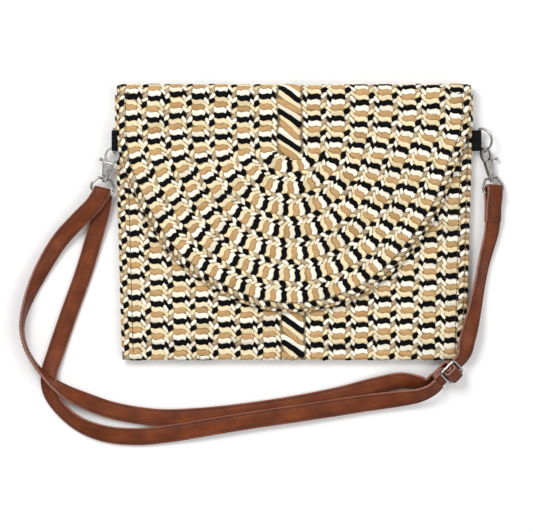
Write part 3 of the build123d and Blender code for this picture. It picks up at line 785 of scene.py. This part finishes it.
def flap_sheets():
    """The flap's turned-under straw with a rounded edge, coloured with painted shade, and its puckered lining."""
    for name, node, inset, mat, slot in (("flap_under", "flap_panel", 0, SHADED_BACKING, "straw"),
                                         ("flap_cloth", "flap_lining", 3.6 * MM, LINING, "lining")):
        curve = edge_point(SWEEP, inset)
        half = FLAP_HALF - inset
        xs = clustered(150) * (half - 0.02 * MM)
        low = np.interp(xs, *curve[np.argsort(curve[:, 0])].T)
        low = np.where(np.abs(xs) > half - 0.3 * MM, np.maximum(low, 80 * MM), low)[:, None]
        x, t = np.meshgrid(xs, np.linspace(0, 1, 60) ** 1.8, indexing="ij")
        y = low + t * (HINGE_Y - SHEET_CLEAR - low)
        angle, from_side = bearing(x, y), half - np.abs(x)
        from_end = np.interp(angle, SWEEP, OUTLINE) - inset - np.hypot(x, y - FLAP_CENTRE_Y)
        depth = np.where((angle < SWEEP[0]) | (angle > SWEEP[-1]), from_side, from_end)
        depth = np.clip(np.minimum(depth, from_side), 0, FLAP_RIM)
        bulge = np.sqrt(np.maximum(FLAP_RIM**2 - (FLAP_RIM - depth) ** 2, 0))
        if inset == 0:
            middle = flap_height(x) - WEAVE / 2
            top, bottom = middle + bulge, middle - bulge
        else:
            pucker = 0.18 * MM * np.sin(x * 260 + 2 * np.sin(y * 80)) * np.sin(y * 120)
            middle = flap_height(x) - WEAVE - 0.15 * MM
            top, bottom = middle + 0.1 * MM, middle - bulge * 0.35 - 0.1 * MM - np.abs(pucker)
        settle(sheet(name, stack(x, y, top), stack(x, y, bottom), mat), "flap", slot, node)


def flap_seam():
    """The black seam that runs a little inside the flap's edge, on both faces."""
    line = with_sides(edge_point(SWEEP, 7.4 * MM))
    z = flap_height(line[:, 0])
    dashes("flap_seam", np.column_stack([line, z + SEW_HEIGHT]), BLACK_THREAD, "flap", "straw")
    under = np.column_stack([line, z - WEAVE - 0.75 * MM])[::-1]
    dashes("flap_seam_under", under, BLACK_THREAD, "flap", "lining", lift=-0.2 * MM)


def edge_chain(name, line, centre_z, radius, body, wrap=1.75):
    """Straw that wraps a sewn edge: slanting pillows round its outside, in the four tones."""
    s = arc(line)
    known = np.column_stack([line, unit(np.gradient(line, s, axis=0)), centre_z(line[:, 0])])

    def place(u, v, h):
        x, y, tx, ty, z = np.moveaxis(read_off(v, s, known), -1, 0)
        angle = u / radius
        out = (radius + h) * np.cos(angle)
        return stack(x + ty * out, y - tx * out, z + (radius + h) * np.sin(angle))

    pillows = Pillows()
    wrap_row(pillows, wrap * radius, np.arange(1, math.floor(s[-1] / STEP)), place)
    settle(pillows.build(name), body, "straw")


def edges():
    at_seam = lambda x: np.full_like(x, SEAM_Z)
    y = np.linspace(BOTTOM_Y + 4 * MM, HINGE_Y - 2 * MM, 80)
    right = stack(half_width(y) - EDGE, y)
    edge_chain("right_edge_braid", right, at_seam, EDGE, "purse")
    edge_chain("left_edge_braid", (right * (-1, 1))[::-1], at_seam, EDGE, "purse")
    line = with_sides(edge_point(SWEEP, FLAP_RIM), -2 * MM)
    edge_chain("flap_edge_braid", line, lambda x: flap_height(x) - WEAVE / 2, FLAP_RIM, "flap", 1.9)
    mouth = stack(np.linspace(138, -138, 80) * MM, MOUTH_Y - 1.1 * MM)
    edge_chain("mouth_edge_braid", mouth, lambda x: front_height(x, MOUTH_Y) - WEAVE / 2, 1.35 * MM, "purse")


# The strap

def spline(points, per_step=14):
    """A centripetal curve through the points, in as many dimensions as they have."""
    p = np.array(points, float)
    p = np.vstack([2 * p[0] - p[1], p, 2 * p[-1] - p[-2]])
    out = []
    for a, b, c, d in zip(p, p[1:], p[2:], p[3:]):
        gaps = [math.sqrt(max(np.linalg.norm((q - r)[:3]), 1e-6)) for q, r in ((b, a), (c, b), (d, c))]
        t0, t1 = 0.0, gaps[0]
        t2, t3 = gaps[0] + gaps[1], sum(gaps)
        t = np.linspace(t1, t2, per_step, endpoint=False)[:, None]
        a1 = (t1 - t) / (t1 - t0) * a + (t - t0) / (t1 - t0) * b
        a2 = (t2 - t) / (t2 - t1) * b + (t - t1) / (t2 - t1) * c
        a3 = (t3 - t) / (t3 - t2) * c + (t - t2) / (t3 - t2) * d
        b1 = (t2 - t) / (t2 - t0) * a1 + (t - t0) / (t2 - t0) * a2
        b2 = (t3 - t) / (t3 - t1) * a2 + (t - t1) / (t3 - t1) * a3
        out.append((t2 - t) / (t2 - t1) * b1 + (t - t1) / (t2 - t1) * b2)
    return np.vstack([*out, p[-2][None]])


def tight(points):
    """A finely sampled curve, for sharp bends."""
    return evenly(spline(points, 8), 0.8 * MM)


def band_section():
    """The strap's edge-on outline: crowned faces, a stitched groove and a rounded painted edge."""
    side = [(-1.0, 0.0), (-0.985, 0.5), (-0.93, 0.86), (-0.84, 1.0), (-0.74, 0.98), (-0.70, 0.84), (-0.66, 0.98),
            (-0.4, 1.05)]
    top = np.array([*side, (0, 1.08), *[(-a, b) for a, b in side[:0:-1]]])
    return np.concatenate([top, -top]) * (STRAP_WIDTH / 2, STRAP_THICK / 2)


def band_mesh(name, samples, widths, normal):
    section = band_section()
    n, count = len(section), len(samples)
    verts, strand, rim = [], [], []
    for p, w, m, along in zip(samples, widths, normal, arc(samples)):
        for a, b in section:
            verts.append(p + w * a + m * b)
            strand.append((along, a, 0.01 if b > 0 else 0.03))
            rim.append(abs(a) / (STRAP_WIDTH / 2))
    faces, mats = [], []
    for i in range(count - 1):
        for j in range(n):
            k = (j + 1) % n
            faces.append((i * n + j, i * n + k, (i + 1) * n + k, (i + 1) * n + j))
            mats.append(int(abs(section[j][0]) + abs(section[k][0]) > 0.95 * STRAP_WIDTH))
    faces += [tuple(range(n))[::-1], tuple((count - 1) * n + j for j in range(n))]
    return make_object(name, verts, faces, [LEATHER, EDGE_PAINT], mats + [1, 1], strand, rim)


def stitch_rows(name, samples, widths, normal):
    """Thread along both edges, on both faces."""
    s, pitch = arc(samples), 3.4 * MM
    lifts = np.array([[-0.12], [0.16], [0.16], [-0.12]]) * MM
    radii = [0.36 * MM] * len(lifts)
    verts, faces = [], []
    for a in (-0.7, 0.7):
        for b in (-1, 1):
            row = samples + widths * a * STRAP_WIDTH / 2 + normal * b * STRAP_THICK / 2 * 0.88
            for start in np.arange(0.6 * MM, s[-1] - pitch, pitch):
                at = start + np.linspace(0, 0.76, len(lifts)) * pitch
                up, side = read_off(at[1], s, normal) * b, read_off(at[1], s, widths)
                tube(verts, faces, read_off(at, s, row) + up * lifts, radii, side, up, 5)
    return make_object(name, verts, faces, [STITCH])


def sewn_band(name, centres, widths):
    """The strap along its centres and the vectors across it. Returns the band and its thread."""
    tangent = unit(np.gradient(centres, axis=0))
    widths = unit(widths - tangent * np.sum(widths * tangent, axis=1)[:, None])
    normal = np.cross(tangent, widths)
    return [make(name + suffix, centres, widths, normal)
            for suffix, make in (("", band_mesh), ("_stitches", stitch_rows))]


def rolled(samples):
    """Centres and the vectors across, from rows of x, y, z and a roll in degrees. 0 lies flat, 90 is on edge."""
    p, roll = samples[:, :3], np.radians(samples[:, 3:])
    t = unit(np.gradient(p, axis=0))
    level = unit(stack(t[:, 1], -t[:, 0], 0.0))
    return p, level * np.cos(roll) + np.cross(level, t) * np.sin(roll)


# The free strap's routes: x, y and z in millimetres and the band's roll in degrees.
ROUTE_UNITS = (MM, MM, MM, 1)
RIGHT_RUN = np.array([
    (140.1, -112.8, 11.9, -48), (142.6, -107.4, 12.2, -34), (144.2, -99, 12.6, -20), (147.0, -88, 12.6, -22),
    (150.4, -74, 10.8, -36), (153.2, -60, 9.2, -45), (156.0, -46, 8.0, -50), (158.8, -32, 7.4, -47),
    (162.2, -19, 7.2, -40), (164.8, -9, 7.2, -34), (165.9, -1, 7.25, -29), (166.2, 7, 7.25, -28.5),
]) * ROUTE_UNITS
OUTER_RUN = np.array([
    (-158.8, 24, 6.75, 0), (-160.4, 13.5, 5.6, 0), (-167.4, -12, 3.0, 0), (-175.1, -38, 1.7, 0),
    (-190, -80, 1.5, 0), (-199.5, -108, 1.6, -4), (-205, -126, 2.6, -16), (-204, -141, 4.6, -32),
    (-195, -155, 5.6, -40), (-179, -168, 5.0, -33), (-158, -176, 3.4, -18), (-132, -178.5, 2.2, -7),
    (-104, -176, 2.4, -2), (-74, -171, 3.9, 0), (-38, -165, 4.2, 0), (0, -159.5, 4.2, 0),
    (32, -154.6, 4.3, -2), (62, -150, 4.8, -9), (88, -146.5, 7.2, -24), (105, -143.5, 10.6, -38),
    (115.5, -138.6, 12.7, -46), (121.1, -133.4, 13.0, -48),
]) * ROUTE_UNITS
INNER_RUN = np.array([
    (-161.8, 24, 11.65, 0), (-167.6, 15.4, 10.9, 0), (-181, 2, 8.2, 6), (-196, -14.5, 6.2, 16),
    (-211.5, -40, 6.0, 36), (-223, -66, 7.4, 66), (-227.5, -86, 8.2, 84), (-224.5, -103, 9.2, 88),
    (-214.5, -120, 10.4, 84), (-203, -132, 9.8, 68), (-189.5, -141.5, 7.4, 42), (-172, -149.5, 4.6, 18),
    (-150, -157, 2.6, 6), (-114, -162.5, 1.8, 0), (-78, -161.5, 1.5, 0), (-36, -157, 1.4, 0),
    (6, -150.5, 1.5, 0), (40, -143.5, 1.7, 0), (68, -136, 2.6, -6), (90, -131.5, 4.4, -20),
    (104, -133, 6.6, -36), (111.6, -134.6, 8.0, -45), (117.3, -129.6, 8.1, -48),
]) * ROUTE_UNITS

# Where the strap folds: points in a plane, along the strap and out of its face, in millimetres
RIGHT_FOLD = [(-25.2, 1.25), (-18, 1.25), (-11, 1.45), (-6, 2.3), (-1, 2.5), (2.4, 2.45), (4.3, 0.9), (4.3, -0.9),
              (2.4, -2.45), (-1, -2.5), (-6, -2.3), (-11, -1.45), (-18, -1.25), (-25.4, -1.25)]
LEFT_FOLD = [(-5.5, 2.5), (-2, 2.5), (0.6, 2.5), (2.3, 1.4), (2.5, 0), (2.3, -1.4), (0.6, -2.5), (-2, -2.5),
             (-5.5, -2.5)]
SLIDER_PASS = [(-14, -2.5), (-8, -2.5), (-5.3, -1.8), (-4.7, 1.2), (-4.1, 4.4), (-2.4, 4.95), (0, 5.05),
               (2.4, 4.95), (4.1, 4.4), (4.7, 1.2), (5.3, -1.8), (8, -2.5), (14, -2.5)]
SLIDER_LOOP = [(-14, -7.4), (-6, -7.3), (1.4, -7.2), (3.2, -5.6), (2.9, -2.4), (2.25, 0.4), (0.6, 2.25),
               (-1.6, 1.7), (-2.3, -0.6), (-3.0, -3.6), (-4.6, -4.8), (-9, -4.95), (-13.6, -4.95)]
SLIDER_AT = np.array((131.5, -124.0, 13.6)) * MM
SLIDER_ALONG, SLIDER_UP = (0.7071, 0.7071, 0), (0.5255, -0.5255, 0.6691)
SLIDER_ACROSS = (0.4731, -0.4731, -0.7431)


def in_plane(points, origin, along, up):
    return np.array(points) * MM @ np.array([along, up]) + origin


def strap_run(name, rows, first=None, last=None):
    """A free run of the strap, with its thread. first and last are its centres in the slider, square to it."""
    centres, widths = rolled(evenly(spline(rows), 2.2 * MM))
    lead, tail = (centres[:0] if points is None else tight(in_plane(points, SLIDER_AT, SLIDER_ALONG, SLIDER_UP))
                  for points in (first, last))
    square = np.tile(SLIDER_ACROSS, (len(lead) + len(tail), 1))
    widths = np.vstack([square[1:len(lead)], widths, square[1:len(tail)]])
    centres = np.vstack([lead[:-1], centres, tail[1:]])
    return *sewn_band(name, centres, widths), centres


def declare_run(run, threads, line, nodes, bodies, twist, far_end, *others):
    """A free run, which twists between two bodies: hides the CAD nodes it replaces and bakes its own and its
    thread's transforms into their meshes. Its line starts at the eye.
    """
    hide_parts(*nodes)
    for piece in (run, threads):
        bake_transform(piece)
    tuple(line[0])
    arc(line)[-1]
    [tuple(p) for p in line]


def sewn_fold(name, points, across, body, node):
    """The strap folded round an eye, with its thread."""
    centres = tight(points)
    item, threads = sewn_band(name, centres, np.tile(across, (len(centres), 1)))
    return settle(item, body, "leather", node), settle(threads, body, "leather")


def strap():
    origin = np.array((166.89, 26.89, 7.25)) * MM
    across, along, up = np.array(((0.878, -0.031, -0.477), (0.035, 0.999, 0), (0.477, -0.017, 0.879)))
    right = sewn_fold("strap_right_fold", in_plane(RIGHT_FOLD, origin, along, up), across,
                      "right_swivel", "strap_right_end")
    corners = [(-4.3, -22.5), (4.3, -22.5), (4.3, -12.5), (-4.3, -12.5), (-4.3, -22.5)]
    corners = in_plane(corners, origin + up * 2.75 * MM, across, along)
    line = np.concatenate([np.linspace(a, b, 12) for a, b in zip(corners, corners[1:])])
    box = dashes("right_box_stitch", line, STITCH, "right_swivel", "leather", 2.2 * MM, 0.6 * MM, 0.3 * MM, 0.2 * MM)

    origin = np.array((-160.68, 26.53, 9.2)) * MM
    points = in_plane(LEFT_FOLD, origin, (0.228, 0.974, 0), (0, 0, 1))
    left = sewn_fold("strap_left_fold", points, (0.974, -0.228, 0), "left_swivel", "strap_left_loop")

    parts = ("hook", "gate", "gate_pin", "gate_spring", "eye")
    hardware = {side: [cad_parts[side + "_" + part] for part in parts] for side in ("left", "right")}
    run, threads, line = strap_run("right_run_band", RIGHT_RUN, first=SLIDER_PASS)
    declare_run(run, threads, line[::-1], ("strap_right_run", "strap_slider_pass"), ("purse", "right_swivel"),
                ((0.1625, -0.045, 0.0072), (0.1625, 0.0, 0.0072)), "fitting",
                *right, box, *hardware["right"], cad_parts["strap_slider"])
    bodies, twist = ("left_swivel", "purse"), ((-0.165, 0.020, 0.009), (-0.165, -0.020, 0.009))
    run, threads, line = strap_run("outer_run_band", OUTER_RUN)
    declare_run(run, threads, line, ("strap_outer_run",), bodies, twist, "object")
    run, threads, line = strap_run("inner_run_band", INNER_RUN, last=SLIDER_LOOP)
    declare_run(run, threads, line, ("strap_inner_run", "strap_slider_loop"), bodies, twist, "object",
                *left, *hardware["left"])


# Tabs, hardware and the loose thread

# A tab's middle, its ring's bar, the angles round it, and x and the height over the seam before and after it
TABS = {
    "right": (69.2, (154.7, 7.4), (-100, 100, 13), [(145, -0.75), (148, -0.6)], [(148, 1.0), (145, 0.75)]),
    "left": (69.0, (-150.3, 13.0), (-75, 205, 17), [(-145, -0.6), (-149.35, 0.4), (-149.6, 3)],
             [(-149.2, 3.2), (-148.9, 1.2), (-145, 0.6)]),
}


def webbing_tab(side, outward):
    """Ribbed webbing folded over the ring's bar."""
    tab_y, bar, turns, before, after = TABS[side]
    radius, half, thick, columns = 1.55, 8.7 * MM, 0.5 * MM, 45
    angle = np.radians(np.linspace(*turns))
    turn = stack(bar[0] + outward * radius * np.cos(angle), bar[1] + radius * np.sin(angle))
    seam = (0, SEAM_Z / MM)
    path = np.vstack([np.add(before, seam), turn, np.add(after, seam)]) * MM
    line = evenly(stack(path[:, 0], tab_y * MM, path[:, 1]), 0.35 * MM)
    normal = np.cross(unit(np.gradient(line, axis=0)), (0, 1, 0))
    i, j = np.meshgrid(np.arange(len(line)), np.arange(columns), indexing="ij")
    a = np.linspace(-1, 1, columns)[j]
    rib = 0.10 * MM * np.cos(j * math.pi) + 0.06 * MM * np.sin(i * 1.6 + j * 0.8)
    out = normal[i] * ((thick + rib) * (1 - np.abs(a) ** 12))[..., None]
    middle = line[i] + stack(0.0, a * half, 0.0)
    verts = np.stack([middle + out, middle - out]).reshape(-1, 3)
    faces = [*grid_faces(*i.shape), *grid_faces(*i.shape, i.size)[:, ::-1]]
    settle(make_object(side + "_webbing", verts, faces, [WEBBING]), "purse", "webbing", side + "_tab")


def dress_cad():
    """Materials for the CAD nodes that stay in view."""
    both = lambda *parts: [side + part for side in ("right_", "left_") for part in parts]
    looks = ((STEEL, ["snap_socket_washer", "snap_stud_washer", *both("gate_pin", "gate_spring")]),
             (FERRITE, ["snap_magnet"]),
             (SNAP, ["snap_socket", "snap_stud"]),
             (NICKEL, ["strap_slider", *both("ring", "hook", "gate", "eye")]))
    for look, names in looks:
        for name in names:
            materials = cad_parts[name].data.materials
            materials.clear()
            materials.append(look)


def loose_thread():
    """The cut end of the side seam's thread, by the lower right corner."""
    curve = bpy.data.curves.new("loose_thread", "CURVE")
    curve.dimensions, curve.bevel_depth, curve.bevel_resolution = "3D", 0.3 * MM, 2
    points = [(141.5, -101, 8.8), (143.5, -105, 8.0), (144.6, -108.5, 5.4), (147, -112.4, 1.6)]
    line = curve.splines.new("NURBS")
    line.points.add(len(points) - 1)
    for spot, (px, py, pz) in zip(line.points, points):
        spot.co = (px * MM, py * MM, pz * MM, 1)
    line.order_u, line.use_endpoint_u = 3, True
    curve.materials.append(BLACK_THREAD)
    item = bpy.data.objects.new("loose_thread", curve)
    bpy.context.scene.collection.objects.link(item)
    settle(item, "purse", "straw")


def floor():
    bpy.ops.mesh.primitive_grid_add(x_subdivisions=4, y_subdivisions=4, size=12, location=(0, 0, -0.0006))
    item = bpy.context.object
    item.name = "paper_floor"
    item.data.materials.append(floor_material())


set_camera()
set_studio()
strap()
body_shell()
body_lining()
slip_pocket()
body_braid()
fold_backing()
flap_sheets()
flap_braid()
flap_seam()
side_seams()
edges()
webbing_tab("right", 1)
webbing_tab("left", -1)
loose_thread()
dress_cad()
floor()
